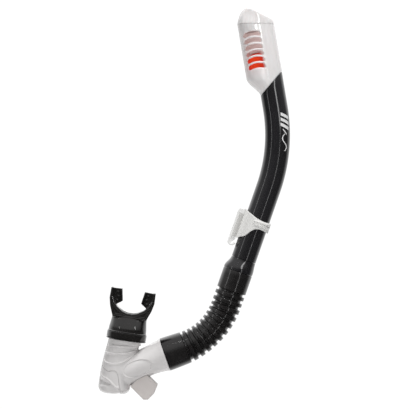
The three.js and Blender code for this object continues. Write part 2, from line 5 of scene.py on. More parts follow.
import bpy
import numpy as np
import openvdb
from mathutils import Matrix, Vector


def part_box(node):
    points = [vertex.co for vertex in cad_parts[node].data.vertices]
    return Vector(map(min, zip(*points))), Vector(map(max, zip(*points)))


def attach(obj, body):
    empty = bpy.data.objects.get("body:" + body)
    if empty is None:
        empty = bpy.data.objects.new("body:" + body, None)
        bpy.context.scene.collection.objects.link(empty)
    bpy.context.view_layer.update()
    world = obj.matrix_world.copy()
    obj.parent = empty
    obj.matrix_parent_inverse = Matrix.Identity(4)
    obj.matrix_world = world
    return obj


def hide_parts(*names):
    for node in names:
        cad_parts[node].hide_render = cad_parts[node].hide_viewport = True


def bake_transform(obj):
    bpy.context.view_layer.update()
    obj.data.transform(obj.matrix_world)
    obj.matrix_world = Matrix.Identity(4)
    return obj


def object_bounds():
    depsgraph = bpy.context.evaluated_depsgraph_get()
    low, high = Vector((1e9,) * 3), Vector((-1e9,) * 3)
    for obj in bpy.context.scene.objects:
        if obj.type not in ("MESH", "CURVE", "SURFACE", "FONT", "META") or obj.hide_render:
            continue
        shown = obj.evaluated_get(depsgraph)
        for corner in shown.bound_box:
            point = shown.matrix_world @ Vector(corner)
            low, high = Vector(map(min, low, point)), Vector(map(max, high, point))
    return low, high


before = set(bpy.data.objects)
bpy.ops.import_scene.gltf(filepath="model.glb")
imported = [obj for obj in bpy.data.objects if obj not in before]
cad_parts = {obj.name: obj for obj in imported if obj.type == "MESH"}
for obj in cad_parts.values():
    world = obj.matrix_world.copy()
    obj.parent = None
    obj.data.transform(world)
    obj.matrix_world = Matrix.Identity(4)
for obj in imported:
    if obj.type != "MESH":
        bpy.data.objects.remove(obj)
cad_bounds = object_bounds()

# ---- Driving dimensions, in millimetres and degrees, as in the CAD model -----------------------
MM = 0.001
SIDES = 96  # round the tube and hose
VOXEL = 0.4  # of the sculpted pieces
GAP = 0.3
SEAM_GAP = 0.05
WALL = 1.8
FAR = 50  # enough to take a part of a field out of play

CAP_LEAN = -9.5
TUBE_LEAN = 19.2
HOSE_END_LEAN = 70.5
MOUTH_LEAN = 9
PURGE_LEAN = -45

TUBE_R = 13.8
BORE_R = 10.6
SPIGOT_R = 12
CAP_SPIGOT_RISE = 13
JOINT_SLOPE = math.tan(math.radians(39.8))
TUBE_LEGS = [(27.3, 0), (88.9, TUBE_LEAN - CAP_LEAN), (97.8, 0)]
FLARE_LENGTH = 14
FLARE_ASIDE = 1.6
SOCKET_DEPTH = 10
KEEPER_FROM_TOP = 153.9

HOSE_R = 16.5
HOSE_END_R = 18.7
HOSE_LEGS = [(38, 0), (71.6, HOSE_END_LEAN - TUBE_LEAN), (20.1, 0)]
HOSE_SPIGOT_R = 13.4
HOSE_SPIGOT_LENGTH = 19
GROOVES = 12
GROOVE_PITCH = 7.25
FIRST_GROOVE = 24
GROOVE_DEPTH = 2.7
HOSE_BORE_R = 12.4
HOSE_CUFF_BORE_R = 15.6
HOSE_CUFF_DEPTH = 18

EGG_OFFSET = 10.1
EGG_EXTRA_R = 2.2
FLANK_SWELL = 0.4
FUNNEL_LOW = -12
FUNNEL_HIGH = 9.5
CAP_SEAM = 67
CAP_SEAM_FALL = 0.166
CAP_TOP = 87.4
LID_CORNER = (3.5, 4.5)  # across and up
LID_TAPER = (0.25, 0.017)  # of its front, at the seam and growing with height
ROOF_START = -11.8
ROOF_SLOPE = 0.705
SLOTS = 6
SLOT_PITCH = 7.1
LOWEST_SLOT = 20.4
SLOT_HEIGHT = 4.6
SLOT_ENDS = (-22, -3.4)
SLOT_ARCH = 1.9
FLOAT_CENTRE = -13
FLOAT_BOTTOM = 12.6
FLOAT_TOP = 35.6
FLOAT_R = 8.4
FLOAT_WALL = 1.2
FLOAT_DOME = 6  # height of its domed top
FLOAT_CROWN_R = 1.4
FLOAT_CROWN_ASIDE = 2.2

STRAP_SLOT = (-18.65, -12.7)
STRAP_SLOT_WIDTH = 5.5
KEEPER_R = 15.8
HOOK_HALF_WIDTH = 9
HOOK_SKEW = 0.3
RIBS = [((-2.5, -1.7), (16, -1.4)), ((-2.5, -4.4), (16, -5.3))]
RIB_R = 0.8

ARM_LEGS = [(55, -10.5)]
ARM_END = 53
SUMP_START = (-124.4, -126.6)
SUMP_LEGS = [(25, 0), (33, -11)]
SUMP_LEAN = 15
SUMP_R = 17.5
SUMP_END = 59
SUMP_CORNER = 7
ARM_R = 15.2
ARM_FLARE = 3.5  # how much wider the arm is at the hose
ARM_FLARE_FADE = 12
ARM_SPIGOT_R = 15.3
ARM_BORE_R = 13.3
MOUTH_BASE = (-122.7, -126)
CUFF_R = 22
STUB_R = 17.2
STUB_BORE_R = 14.2
STUB_TOP = 13
BAND_R = 21.3
BAND_MIDDLE = 4.95
BAND_HEAD = 22.3
LIP_HALF_DEPTH = 13
TAB_HALF_DEPTH = 1.9
TAB_BUMPS = [(16.8, 51), (15.6, 46.4), (16.6, 42)]
PURGE = (-107.6, -170.6)
BOSS_R = 10.2
PURGE_BORE_R = 8.6
DUCT_HALF_DEPTH = 11


def total(legs):
    return sum(length for length, _ in legs)


TUBE_LENGTH = total(TUBE_LEGS)
HOSE_LENGTH = total(HOSE_LEGS)
FLARE_START = TUBE_LENGTH - FLARE_LENGTH


# ---- Places and routes ---------------------------------------------------------------------------
def local(x, z, spot, lean):
    """Across and up distances of row-frame points from a leaning spot."""
    sine, cosine = math.sin(math.radians(lean)), math.cos(math.radians(lean))
    dx, dz = x - spot[0], z - spot[1]
    return dx * cosine - dz * sine, dx * sine + dz * cosine


def offset(spot, lean, across, up):
    sine, cosine = math.sin(math.radians(lean)), math.cos(math.radians(lean))
    return spot[0] + across * cosine + up * sine, spot[1] - across * sine + up * cosine


class Route:
    """A path in the XZ plane, walked downwards. It runs straight on before its start and after its end."""

    STEP = 0.25
    EXTRA = 70

    def __init__(self, start, lean, legs):
        runs = [(self.EXTRA, 0), *legs, (self.EXTRA, 0)]
        turns = np.concatenate([
            np.full(round(length / self.STEP), math.radians(turn) / round(length / self.STEP))
            for length, turn in runs
        ])
        lengths = np.concatenate([
            np.full(round(length / self.STEP), length / round(length / self.STEP)) for length, _ in runs
        ])
        self.angle = math.radians(lean) + np.concatenate([[0], np.cumsum(turns)])
        middle = (self.angle[1:] + self.angle[:-1]) / 2
        self.s = np.concatenate([[0], np.cumsum(lengths)]) - self.EXTRA
        top = offset(start, lean, 0, self.EXTRA)
        self.x = top[0] - np.concatenate([[0], np.cumsum(np.sin(middle) * lengths)])
        self.z = top[1] - np.concatenate([[0], np.cumsum(np.cos(middle) * lengths)])

    def at(self, s):
        return tuple(np.interp(s, self.s, values) for values in (self.x, self.z, self.angle))

    def unbend(self, x, z):
        """Across distance and distance along the route of each point of two matching flat arrays."""
        shape = np.broadcast(x, z).shape
        px, pz = (np.broadcast_to(v, shape).ravel() for v in (x, z))
        nearest = np.concatenate([
            np.argmin((part_x[:, None] - self.x) ** 2 + (part_z[:, None] - self.z) ** 2, axis=1)
            for part_x, part_z in zip(np.array_split(px, 64), np.array_split(pz, 64))
        ])
        dx, dz, angle = px - self.x[nearest], pz - self.z[nearest], self.angle[nearest]
        across = dx * np.cos(angle) - dz * np.sin(angle)
        along = self.s[nearest] - dx * np.sin(angle) - dz * np.cos(angle)
        return across.reshape(shape), along.reshape(shape)


keeper_spot = offset((0, 0), TUBE_LEAN, -STRAP_SLOT[0], -STRAP_SLOT[1])
unshifted = Route((0, 0), CAP_LEAN, TUBE_LEGS).at(KEEPER_FROM_TOP)
tube_top = (keeper_spot[0] - unshifted[0], keeper_spot[1] - unshifted[1])
tube_route = Route(tube_top, CAP_LEAN, TUBE_LEGS)
hose_top = offset(tube_route.at(TUBE_LENGTH)[:2], TUBE_LEAN, -FLARE_ASIDE, 0)
hose_route = Route(hose_top, TUBE_LEAN, HOSE_LEGS)
arm_top = hose_route.at(HOSE_LENGTH)[:2]
arm_route = Route(arm_top, HOSE_END_LEAN, ARM_LEGS)
sump_route = Route(SUMP_START, SUMP_LEAN, SUMP_LEGS)


# ---- Meshes ----------------------------------------------------------------------------------------
def smoothstep(value, low, high):
    share = np.clip((value - low) / (high - low), 0, 1)
    return share * share * (3 - 2 * share)


def add_mesh(name, points, faces, material, crease=40):
    """A piece from points in millimetres in the row frame, smooth except where faces meet sharply."""
    mesh = bpy.data.meshes.new(name)
    mesh.from_pydata((np.asarray(points) * MM).tolist(), [], faces)
    mesh.materials.append(material)
    mesh.update()
    mesh.shade_smooth()
    mesh.set_sharp_from_angle(angle=math.radians(crease))
    piece = bpy.data.objects.new(name, mesh)
    bpy.context.scene.collection.objects.link(piece)
    return piece


def ring_faces(rows, sides):
    """Quads of a surface that closes on itself both round the piece and along its profile."""
    return [
        (i * sides + j, ((i + 1) % rows) * sides + j, ((i + 1) % rows) * sides + (j + 1) % sides,
         i * sides + (j + 1) % sides)
        for i in range(rows)
        for j in range(sides)
    ]


def lathe(name, profile, route, material, aside=np.zeros_like, cut=None, sides=SIDES):
    """Turns a closed profile of [radius, distance along the route] points, bent onto the route.
    cut(across) gives how far the top end is moved along at each side, which fades out by the first bend."""
    radius, s = np.array(profile, float).T
    turn = np.linspace(0, 2 * math.pi, sides, endpoint=False)
    across = radius[:, None] * np.cos(turn)
    y = radius[:, None] * np.sin(turn)
    along = np.repeat(s[:, None], sides, axis=1)
    if cut:
        along = along + cut(across) * np.clip(1 - along / TUBE_LEGS[0][0], 0, 1)
    across = across + aside(along)
    x, z, angle = route.at(along)
    points = np.stack([x + across * np.cos(angle), y, z - across * np.sin(angle)], axis=-1)
    area = np.sum(radius * np.roll(s, -1) - np.roll(radius, -1) * s)
    faces = ring_faces(len(profile), sides)
    if area > 0:
        faces = [face[::-1] for face in faces]
    return add_mesh(name, points.reshape(-1, 3), faces, material)


# Fields: each gives the distance in millimetres outside a shape, negative inside.
def join(a, b, soft):
    share = np.clip(0.5 + 0.5 * (b - a) / soft, 0, 1)
    return b * (1 - share) + a * share - soft * share * (1 - share)


def meet(a, b, soft=0.8):
    return -join(-a, -b, soft)


def carve(a, b, soft=0.8):
    return -join(-a, b, soft)


def flat_shape(u, w, points):
    """Distance outside a closed outline, in the plane."""
    points = np.array(points, float)
    distance = np.full(np.broadcast(u, w).shape, 1e9)
    inside = np.zeros(distance.shape, bool)
    for (ax, az), (bx, bz) in zip(points, np.roll(points, -1, 0)):
        ex, ez = bx - ax, bz - az
        share = np.clip(((u - ax) * ex + (w - az) * ez) / (ex * ex + ez * ez), 0, 1)
        distance = np.minimum(distance, np.hypot(u - ax - share * ex, w - az - share * ez))
        if ez:
            inside ^= ((az > w) != (bz > w)) & (u < ax + (w - az) * ex / ez)
    return np.where(inside, -distance, distance)


def curved(points, steps=6):
    """A closed outline with its corners smoothed by a Catmull-Rom curve."""
    p = np.array(points, float)
    out = []
    for a, b, c, d in zip(np.roll(p, 1, 0), p, np.roll(p, -1, 0), np.roll(p, -2, 0)):
        for t in np.linspace(0, 1, steps, endpoint=False):
            out.append(0.5 * (2 * b + (c - a) * t + (2 * a - 5 * b + 4 * c - d) * t**2
                              + (3 * b - a - 3 * c + d) * t**3))
    return out


def thick(flat, y, half_depth, edge=0.8):
    """An outline made thick both ways along Y, with rounded edges."""
    side = np.abs(y) - half_depth
    a, b = flat + edge, side + edge
    return np.minimum(np.maximum(a, b), 0) + np.hypot(np.maximum(a, 0), np.maximum(b, 0)) - edge


def capsule(u, w, start, end, radius):
    ex, ez = end[0] - start[0], end[1] - start[1]
    share = np.clip(((u - start[0]) * ex + (w - start[1]) * ez) / (ex * ex + ez * ez), 0, 1)
    return np.hypot(u - start[0] - share * ex, w - start[1] - share * ez) - radius


def sculpt(name, node, field, material, voxel=VOXEL, margin=2):
    """The smooth surface where a field is zero, over the box of a CAD node."""
    low, high = (np.array(corner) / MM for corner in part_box(node))
    counts = np.ceil((high - low + 2 * margin) / voxel).astype(int)
    x, y, z = (low[i] - margin + voxel * np.arange(counts[i]) for i in range(3))
    values = field(x[:, None, None], y[None, :, None], z[None, None, :])
    values = np.broadcast_to(values, counts).astype(np.float32)
    reach = 3 * voxel
    grid = openvdb.FloatGrid(reach)
    grid.copyFromArray(np.clip(values, -reach, reach))
    points, triangles, quads = grid.convertToPolygons(isovalue=0.0, adaptivity=0.0)
    points = points * voxel + (low - margin)
    faces = [tuple(face) for face in (*triangles.tolist(), *quads.tolist())]
    a, b, c = (points[[face[i] for face in faces]] for i in range(3))
    volume = np.einsum("ij,ij->", np.cross(a, b), c)
    if volume < 0:
        faces = [face[::-1] for face in faces]
    return add_mesh(name, points, faces, material, crease=60)


# ---- Materials -------------------------------------------------------------------------------------
def make_material(name, color, roughness, *, spread=0.06, tint=0.04, grain=900, grain_depth=0.00002,
                  ripple=60, ripple_depth=0.0, stretch=(1, 1, 1), speck=0.0, **sockets):
    """A moulded plastic or rubber: mottled colour, uneven gloss, fine grain and slow ripples."""
    material = bpy.data.materials.new(name)
    material.use_nodes = True
    tree = material.node_tree
    shader = tree.nodes["Principled BSDF"]
    for socket, value in sockets.items():
        shader.inputs[socket.replace("_", " ")].default_value = value

    def node(kind, **values):
        made = tree.nodes.new(kind)
        for key, value in values.items():
            if key in made.inputs:
                made.inputs[key].default_value = value
            else:
                setattr(made, key, value)
        return made

    def link(source, target):
        tree.links.new(source, target)

    def noise(scale, detail, vector):
        made = node("ShaderNodeTexNoise", Scale=scale, Detail=detail)
        link(vector, made.inputs["Vector"])
        return made.outputs["Fac"]

    def ramp(source, low, high, start, end):
        span = {"From Min": low, "From Max": high, "To Min": start, "To Max": end}
        made = node("ShaderNodeMapRange", **span)
        link(source, made.inputs["Value"])
        return made.outputs["Result"]

    place = node("ShaderNodeTexCoord").outputs["Object"]
    squeezed = node("ShaderNodeMapping", Scale=stretch)
    link(place, squeezed.inputs["Vector"])
    place = squeezed.outputs["Vector"]

    mottle = noise(45, 4, place)
    mix = node("ShaderNodeMix", data_type="RGBA")
    dark = [channel * (1 - tint) for channel in color]
    light = [min(1, channel * (1 + tint)) for channel in color]
    mix.inputs["A"].default_value = (*dark, 1)
    mix.inputs["B"].default_value = (*light, 1)
    link(ramp(mottle, 0.35, 0.65, 0, 1), mix.inputs["Factor"])
    colour = mix.outputs["Result"]
    if speck:
        dust = node("ShaderNodeMix", data_type="RGBA")
        dust.inputs["B"].default_value = (0.35, 0.35, 0.36, 1)
        link(colour, dust.inputs["A"])
        link(ramp(noise(700, 2, place), 0.7, 0.8, 0, speck), dust.inputs["Factor"])
        colour = dust.outputs["Result"]
    link(colour, shader.inputs["Base Color"])
    link(ramp(noise(120, 5, place), 0.3, 0.7, roughness - spread, roughness + spread),
         shader.inputs["Roughness"])

    fine = node("ShaderNodeBump", Strength=1.0, Distance=grain_depth)
    link(noise(grain, 3, place), fine.inputs["Height"])
    normal = fine.outputs["Normal"]
    if ripple_depth:
        slow = node("ShaderNodeBump", Strength=1.0, Distance=ripple_depth)
        link(noise(ripple, 1, place), slow.inputs["Height"])
        link(normal, slow.inputs["Normal"])
        normal = slow.outputs["Normal"]
    link(normal, shader.inputs["Normal"])
    return material


WHITE = make_material("white_gloss", (0.78, 0.76, 0.755), 0.2, tint=0.012, grain_depth=0.000004,
                      ripple=30, ripple_depth=0.0001, Coat_Weight=0.5, Coat_Roughness=0.05)
CAP = make_material("cap_gloss", (0.86, 0.83, 0.825), 0.2, tint=0.012, grain_depth=0.000004, ripple=30,
                    ripple_depth=0.0001, Coat_Weight=0.5, Coat_Roughness=0.04, Subsurface_Weight=0.5,
                    Subsurface_Radius=(1, 0.92, 0.9), Subsurface_Scale=0.005)
# Painted glow: the pinkish tint and the emission stand in for light coming in through the slots and red light
# thrown back off the float.
INSIDE_PAINTED_GLOW = make_material("inside_painted_glow", (0.86, 0.78, 0.765), 0.5, tint=0.02, Emission_Color=(1, 0.84, 0.82, 1),
                       Emission_Strength=0.09)
# Painted glow: the emission and pinkish tint stand in for light reaching these inner parts through the slots
# and off the red float.
INNER_PAINTED_GLOW = make_material("inner_satin_painted_glow", (0.80, 0.71, 0.69), 0.45, tint=0.03, Emission_Color=(1, 0.76, 0.73, 1),
                      Emission_Strength=0.1)
TUBE = make_material("tube_gloss", (0.013, 0.0125, 0.014), 0.12, spread=0.03, tint=0.2,
                     grain_depth=0.000002, ripple=30, ripple_depth=0.0003, stretch=(1, 1, 0.35),
                     speck=0.1, Coat_Weight=0.4, Coat_Roughness=0.05)
HOSE = make_material("hose_silicone", (0.0125, 0.0115, 0.0115), 0.15, spread=0.05, tint=0.25,
                     grain_depth=0.000004, ripple=70, ripple_depth=0.0002, speck=0.15, Coat_Weight=0.3,
                     Coat_Roughness=0.1)
MOUTH = make_material("mouth_silicone", (0.0125, 0.0115, 0.011), 0.13, spread=0.04, tint=0.25,
                      grain_depth=0.000003, ripple=45, ripple_depth=0.0003, speck=0.1, Coat_Weight=0.4,
                      Coat_Roughness=0.06)
# Painted glow: the emission stands in for light passing through the thin milky plate and brightens its shaded
# inner face.
HOOK = make_material("hook_milky_painted_glow", (0.72, 0.715, 0.70), 0.2, tint=0.01, Emission_Color=(1, 1, 1, 1),
                     Emission_Strength=0.2, grain_depth=0.000001, ripple=50,
                     ripple_depth=0.0001, Coat_Weight=0.5, Coat_Roughness=0.08)
KEEPER = make_material("keeper_satin", (0.86, 0.855, 0.835), 0.34, tint=0.008, grain_depth=0.0000015,
                       ripple=50, ripple_depth=0.00004)
# Painted glow: the red emission brightens the float inside the cap beyond what the lamps give it.
RED_PAINTED_GLOW = make_material("float_red", (1, 0.07, 0.012), 0.35, tint=0.05, grain_depth=0.00001,
                    Emission_Color=(1, 0.05, 0.015, 1), Emission_Strength=0.1)
SEAL = make_material("seal_silicone", (0.62, 0.56, 0.54), 0.4, tint=0.05)
DEFLECTOR = make_material("deflector_satin", (0.69, 0.645, 0.625), 0.42, tint=0.02, grain=700,
                          grain_depth=0.00001)
MARK = make_material("mark_print", (0.72, 0.72, 0.72), 0.4, tint=0.05, grain_depth=0.000005)


# ---- Cap -------------------------------------------------------------------------------------------
def egg_field(u, y, w):
    """The cap's section: a circle of the tube's radius joined to a larger one in front of it."""
    share = smoothstep(w, FUNNEL_LOW, FUNNEL_HIGH)
    length = np.maximum(EGG_OFFSET * share, 0.001)
    split = -EGG_EXTRA_R / EGG_OFFSET
    rise = math.sqrt(1 - split * split)
    side = np.abs(y)
    along = -u
    reach = along * rise - side * split
    near = np.hypot(side, along) - TUBE_R
    far = np.hypot(side, along - length) - TUBE_R - EGG_EXTRA_R * share
    part = np.clip(reach / (rise * length), 0, 1)
    flank = side * rise + along * split - TUBE_R - FLANK_SWELL * share * np.sin(np.pi * part) ** 2
    return np.where(reach < 0, near, np.where(reach > rise * length, far, flank))


def cap_coordinates(x, z):
    return local(x, z, tube_top, CAP_LEAN)


def slots_field(u, y, w):
    low, high = SLOT_ENDS
    middle, half = (low + high) / 2, (high - low) / 2
    arch = SLOT_ARCH * (0.6 - ((u - middle) / half) ** 2)
    radius = SLOT_HEIGHT / 2
    past_end = np.maximum(np.abs(u - middle) - (half - radius), 0)
    return np.minimum.reduce([
        np.hypot(past_end, w - LOWEST_SLOT - i * SLOT_PITCH - arch) - radius for i in range(SLOTS)
    ])


def over_seam(u, w):
    """Distance over the seam between cap and lid, which lies level although the cap leans."""
    return w - CAP_SEAM + CAP_SEAM_FALL * (u + 6)


def cap_shell_field(x, y, z):
    u, w = cap_coordinates(x, z)
    outside = egg_field(u, y, w)
    above_joint = (u * JOINT_SLOPE - w) * math.cos(math.atan(JOINT_SLOPE)) + GAP / 2
    body = meet(meet(outside, above_joint, 0.4), over_seam(u, w) + SEAM_GAP, 0.1)
    body = np.maximum(body, -np.maximum(outside + WALL, 1 - w))
    body = np.maximum(body, SPIGOT_R + GAP - np.hypot(u, y) - FAR * (w > CAP_SPIGOT_RISE + 1))
    return carve(body, np.maximum(slots_field(u, y, w), y), 1.5)


def make_cap_body():
    """The cap's shell, whose inner faces are duller and carry a warm painted glow that stands in for the
    light coming in through the slots and thrown back off the red float.
    """
    piece = sculpt("cap_body", "cap_shell", cap_shell_field, CAP)
    mesh = piece.data
    mesh.materials.append(INSIDE_PAINTED_GLOW)
    centres = np.zeros(3 * len(mesh.polygons))
    mesh.polygons.foreach_get("center", centres)
    x, y, z = centres.reshape(-1, 3).T / MM
    u, w = cap_coordinates(x, z)
    inside = egg_field(u, y, w) < -0.8 * WALL
    mesh.polygons.foreach_set("material_index", inside.astype(np.int32))
    return piece


def whole_lid(u, y, w, inset=0):
    """The roof: an oval dome, high at the front, cut by a plane that slopes down to the tube side."""
    across, up = (size - inset for size in LID_CORNER)
    rise = np.maximum(over_seam(u, w), 0)
    taper = (LID_TAPER[0] * rise + LID_TAPER[1] * rise**2) * smoothstep(-u, 2, 18)
    a = (egg_field(u, y, w) + inset + taper) / across + 1
    b = (w - CAP_TOP + inset) / up + 1
    dome = (np.minimum(np.maximum(a, b), 0) + np.hypot(np.maximum(a, 0), np.maximum(b, 0)) - 1) * across
    slope = (w - CAP_TOP + ROOF_SLOPE * (u - ROOF_START)) / math.hypot(1, ROOF_SLOPE) + inset
    return meet(dome, slope, 2.5)


def cap_lid_field(x, y, z):
    u, w = cap_coordinates(x, z)
    body = meet(whole_lid(u, y, w), SEAM_GAP - over_seam(u, w), 0.1)
    outside = egg_field(u, y, w)
    skirt = np.maximum(outside + WALL + GAP, np.maximum(CAP_SEAM - 6 - w, w - CAP_SEAM - 4))
    return np.maximum(np.minimum(body, skirt), -(whole_lid(u, y, w, WALL + GAP + 1.2)))


def cap_point(u, y, w):
    x, z = offset(tube_top, CAP_LEAN, u, w)
    return x, y, z


def make_float():
    """The hollow float: an oval shell with a domed top."""
    shoulder = FLOAT_TOP - FLOAT_DOME

    def dome(r, top):
        return [
            (FLOAT_CROWN_R + (r - FLOAT_CROWN_R) * math.cos(a), shoulder + (top - shoulder) * math.sin(a))
            for a in np.linspace(0, math.pi / 2, 12)
        ]

    outer = [(FLOAT_R - 0.6, FLOAT_BOTTOM), (FLOAT_R, FLOAT_BOTTOM + 0.6), *dome(FLOAT_R, FLOAT_TOP)]
    inner_r = FLOAT_R - FLOAT_WALL
    inner = [(inner_r, FLOAT_BOTTOM), *dome(inner_r, FLOAT_TOP - FLOAT_WALL)]
    profile = outer + [(0.01, FLOAT_TOP), (0.01, FLOAT_TOP - FLOAT_WALL)] + inner[::-1]
    sides = 72
    points = []
    for radius, w in profile:
        aside = FLOAT_CROWN_ASIDE * max(w - shoulder, 0) / FLOAT_DOME
        for angle in np.linspace(0, 2 * math.pi, sides, endpoint=False):
            u = FLOAT_CENTRE + aside + 0.98 * radius * math.cos(angle)
            points.append(cap_point(u, 1.28 * radius * math.sin(angle), w))
    return add_mesh("float_dome", points, ring_faces(len(profile), sides), RED_PAINTED_GLOW)


# ---- Tube ------------------------------------------------------------------------------------------
def slant(across):
    return -across * JOINT_SLOPE


def make_tube():
    straight = TUBE_LEGS[0][0]
    arc_end = straight + TUBE_LEGS[1][0]
    end = FLARE_START - GAP
    stations = [0.8, 6, 14, straight, *np.linspace(straight, arc_end, 40)[1:], arc_end + 30, end - 0.4]
    profile = [(TUBE_R - 0.4, 0), (TUBE_R - 0.1, 0.15), *[(TUBE_R, s) for s in stations], (TUBE_R - 0.4, end),
               (SPIGOT_R + GAP, end), (SPIGOT_R + GAP, end - SOCKET_DEPTH), (BORE_R, end - SOCKET_DEPTH)]
    profile += [(BORE_R, s) for s in [*np.linspace(arc_end, straight, 20), 8, 0]]
    profile += [(BORE_R, -CAP_SPIGOT_RISE), (SPIGOT_R, -CAP_SPIGOT_RISE), (SPIGOT_R, 0)]
    return lathe("tube_upper", profile, tube_route, TUBE, cut=slant)


def flare_share(s):
    return smoothstep(s, FLARE_START, TUBE_LENGTH - 2)


def make_collar():
    stations = np.linspace(FLARE_START, TUBE_LENGTH - 2, 14)
    profile = [(TUBE_R + flare_share(s) * (HOSE_R - TUBE_R), s) for s in stations]
    profile += [(HOSE_R, TUBE_LENGTH - 0.4), (HOSE_R - 0.4, TUBE_LENGTH), (HOSE_SPIGOT_R, TUBE_LENGTH),
                (HOSE_SPIGOT_R, TUBE_LENGTH + HOSE_SPIGOT_LENGTH), (BORE_R, TUBE_LENGTH + HOSE_SPIGOT_LENGTH)]
    profile += [(BORE_R, s) for s in stations[::-1]]
    plug = FLARE_START - SOCKET_DEPTH + 1
    profile += [(BORE_R, plug), (SPIGOT_R, plug), (SPIGOT_R, FLARE_START)]
    return lathe("collar_flare", profile, tube_route, TUBE, aside=lambda s: -FLARE_ASIDE * flare_share(s))


def make_marks():
    """A plain printed row of slanted bars and a wave line where such a tube carries its print."""
    points, faces = [], []
    proud = TUBE_R + 0.06

    def strip(left, right):
        """A band between two lists of (distance along, angle round) points."""
        first = len(points)
        for s, turn in [pair for both in zip(left, right) for pair in both]:
            x, z, angle = tube_route.at(s)
            across, y = proud * math.cos(turn), -proud * math.sin(turn)
            points.append((x + across * math.cos(angle), y, z - across * math.sin(angle)))
        for i in range(len(left) - 1):
            a = first + 2 * i
            faces.append((a, a + 1, a + 3, a + 2))

    bars = [(33, 3.4, 28, 72), (38.5, 3.4, 30, 74), (44, 3.4, 32, 76), (50.5, 1.6, 46, 66)]
    for s0, width, low, high in bars:
        turns = np.radians(np.linspace(high, low, 9))
        lean = np.linspace(0, 5, 9)
        strip(list(zip(s0 + lean, turns)), list(zip(s0 + width + lean, turns)))
    run = np.linspace(56, 74, 28)
    wave = np.radians(54 + 12 * np.sin((run - 56) / 3.0))
    strip(list(zip(run, wave)), list(zip(run, wave + 0.09)))
    return add_mesh("tube_marks", points, faces, MARK)


# ---- Keeper ----------------------------------------------------------------------------------------
def keeper_field(x, y, z):
    u, w = local(x, z, keeper_spot, TUBE_LEAN)
    outline = curved([
        (-17, 7.6), (-15, 7), (-6.9, 3.7), (0.3, 1.5), (7.6, 0.5), (18, 0), (18, -10.6), (13.6, -10),
        (8.6, -9), (4, -9.1), (-0.1, -10.9), (-3.5, -14.4), (-7.3, -20.3), (-11.1, -22.6), (-17, -23.6),
    ], 3)
    pad_face = STRAP_SLOT[0] + STRAP_SLOT_WIDTH / 2
    radial = np.hypot(u, y)
    pad = np.maximum(np.maximum(pad_face - u, u + 8), np.abs(y) - HOOK_HALF_WIDTH)
    sleeve = join(radial - KEEPER_R, pad, 3)
    ribs = np.minimum.reduce([capsule(u, w, start, end, RIB_R) for start, end in RIBS])
    sleeve = sleeve - (1 - smoothstep(ribs, -0.6, 0.8)) * smoothstep(np.abs(y), 1, 8)
    body = meet(sleeve, flat_shape(u, w, outline), 1.0)
    return carve(body, radial - TUBE_R - GAP, 0.4)


def hook_outline():
    inner = STRAP_SLOT[0] - STRAP_SLOT_WIDTH / 2
    pad = STRAP_SLOT[0] + STRAP_SLOT_WIDTH / 2 - GAP
    thickness, top, turn, reach = 2.4, 6.8, -31.2, 4.4
    outer = inner - thickness
    centre = outer + reach
    outline = [(pad, top), (outer + 3, top), (outer + 1, top - 0.8), (outer, top - 3), (outer, turn)]
    outline += [(centre + reach * math.cos(a), turn + reach * math.sin(a))
                for a in np.linspace(math.pi, 2 * math.pi, 12)[1:]]
    outline += [(centre + (reach - 2) * math.cos(a), turn + (reach - 2) * math.sin(a))
                for a in np.linspace(2 * math.pi, math.pi, 10)]
    return [*outline, (inner, turn + 2), (inner, 1.6), (pad, 1.6)]


def hook_field(x, y, z):
    """The hook's plate stands a little askew, so that the strap slot narrows towards its far end."""
    u, w = local(x, z, keeper_spot, TUBE_LEAN)
    askew = u - HOOK_SKEW * (y + HOOK_HALF_WIDTH) * smoothstep(w, -37, -27)
    plate = thick(flat_shape(askew, w, hook_outline()), y, HOOK_HALF_WIDTH, 0.5)
    pad_face = STRAP_SLOT[0] + STRAP_SLOT_WIDTH / 2 - GAP
    return np.maximum(plate, u - pad_face - 1.4 * (w < 0))


# ---- Hose ------------------------------------------------------------------------------------------
def hose_radius(s):
    radius = HOSE_R + (HOSE_END_R - HOSE_R) * smoothstep(s, 70, HOSE_LENGTH)
    centres = FIRST_GROOVE + GROOVE_PITCH * np.arange(GROOVES)
    nearest = np.min(np.abs(np.atleast_1d(s)[:, None] - centres), axis=1)
    return radius - GROOVE_DEPTH * (1 - smoothstep(nearest, 1.0, 1.75))


def make_hose():
    end = HOSE_LENGTH - GAP
    last = FIRST_GROOVE + GROOVE_PITCH * GROOVES
    grooved = np.arange(FIRST_GROOVE - 3, last, 0.36)
    stations = np.concatenate([[0.9, 6, 12, 18], grooved, [118, 124, end - 0.5]])
    outside = [(HOSE_R - 0.5, GAP), (HOSE_R - 0.12, GAP + 0.15), *zip(hose_radius(stations), stations),
               (HOSE_END_R - 0.12, end - 0.15), (HOSE_END_R - 0.5, end)]
    cuff = HOSE_LENGTH - HOSE_CUFF_DEPTH - GAP
    inside = [(HOSE_CUFF_BORE_R, end), (HOSE_CUFF_BORE_R, cuff), (HOSE_BORE_R, cuff - 2)]
    inside += [(HOSE_BORE_R, s) for s in np.linspace(cuff - 4, HOSE_SPIGOT_LENGTH + 4, 24)]
    inside += [(HOSE_SPIGOT_R + GAP, HOSE_SPIGOT_LENGTH + GAP), (HOSE_SPIGOT_R + GAP, GAP)]
    return lathe("hose_corrugated", outside + inside, hose_route, HOSE)


# ---- Housing ---------------------------------------------------------------------------------------
COVER_EDGE = [(-150, -153), (-146.6, -156), (-143.5, -158.6), (-140.6, -159.3), (-137.2, -158.8),
              (-134.2, -159.3), (-131.8, -161.6), (-130.8, -165.3), (-130.2, -170.9),
              (-129, -180), (-128.4, -192)]
OVAL = {"centre": (-109.5, -156.2), "lean": 18, "long": 16.5, "short": 9}


def mouth_frame(x, z):
    return local(x, z, MOUTH_BASE, MOUTH_LEAN)


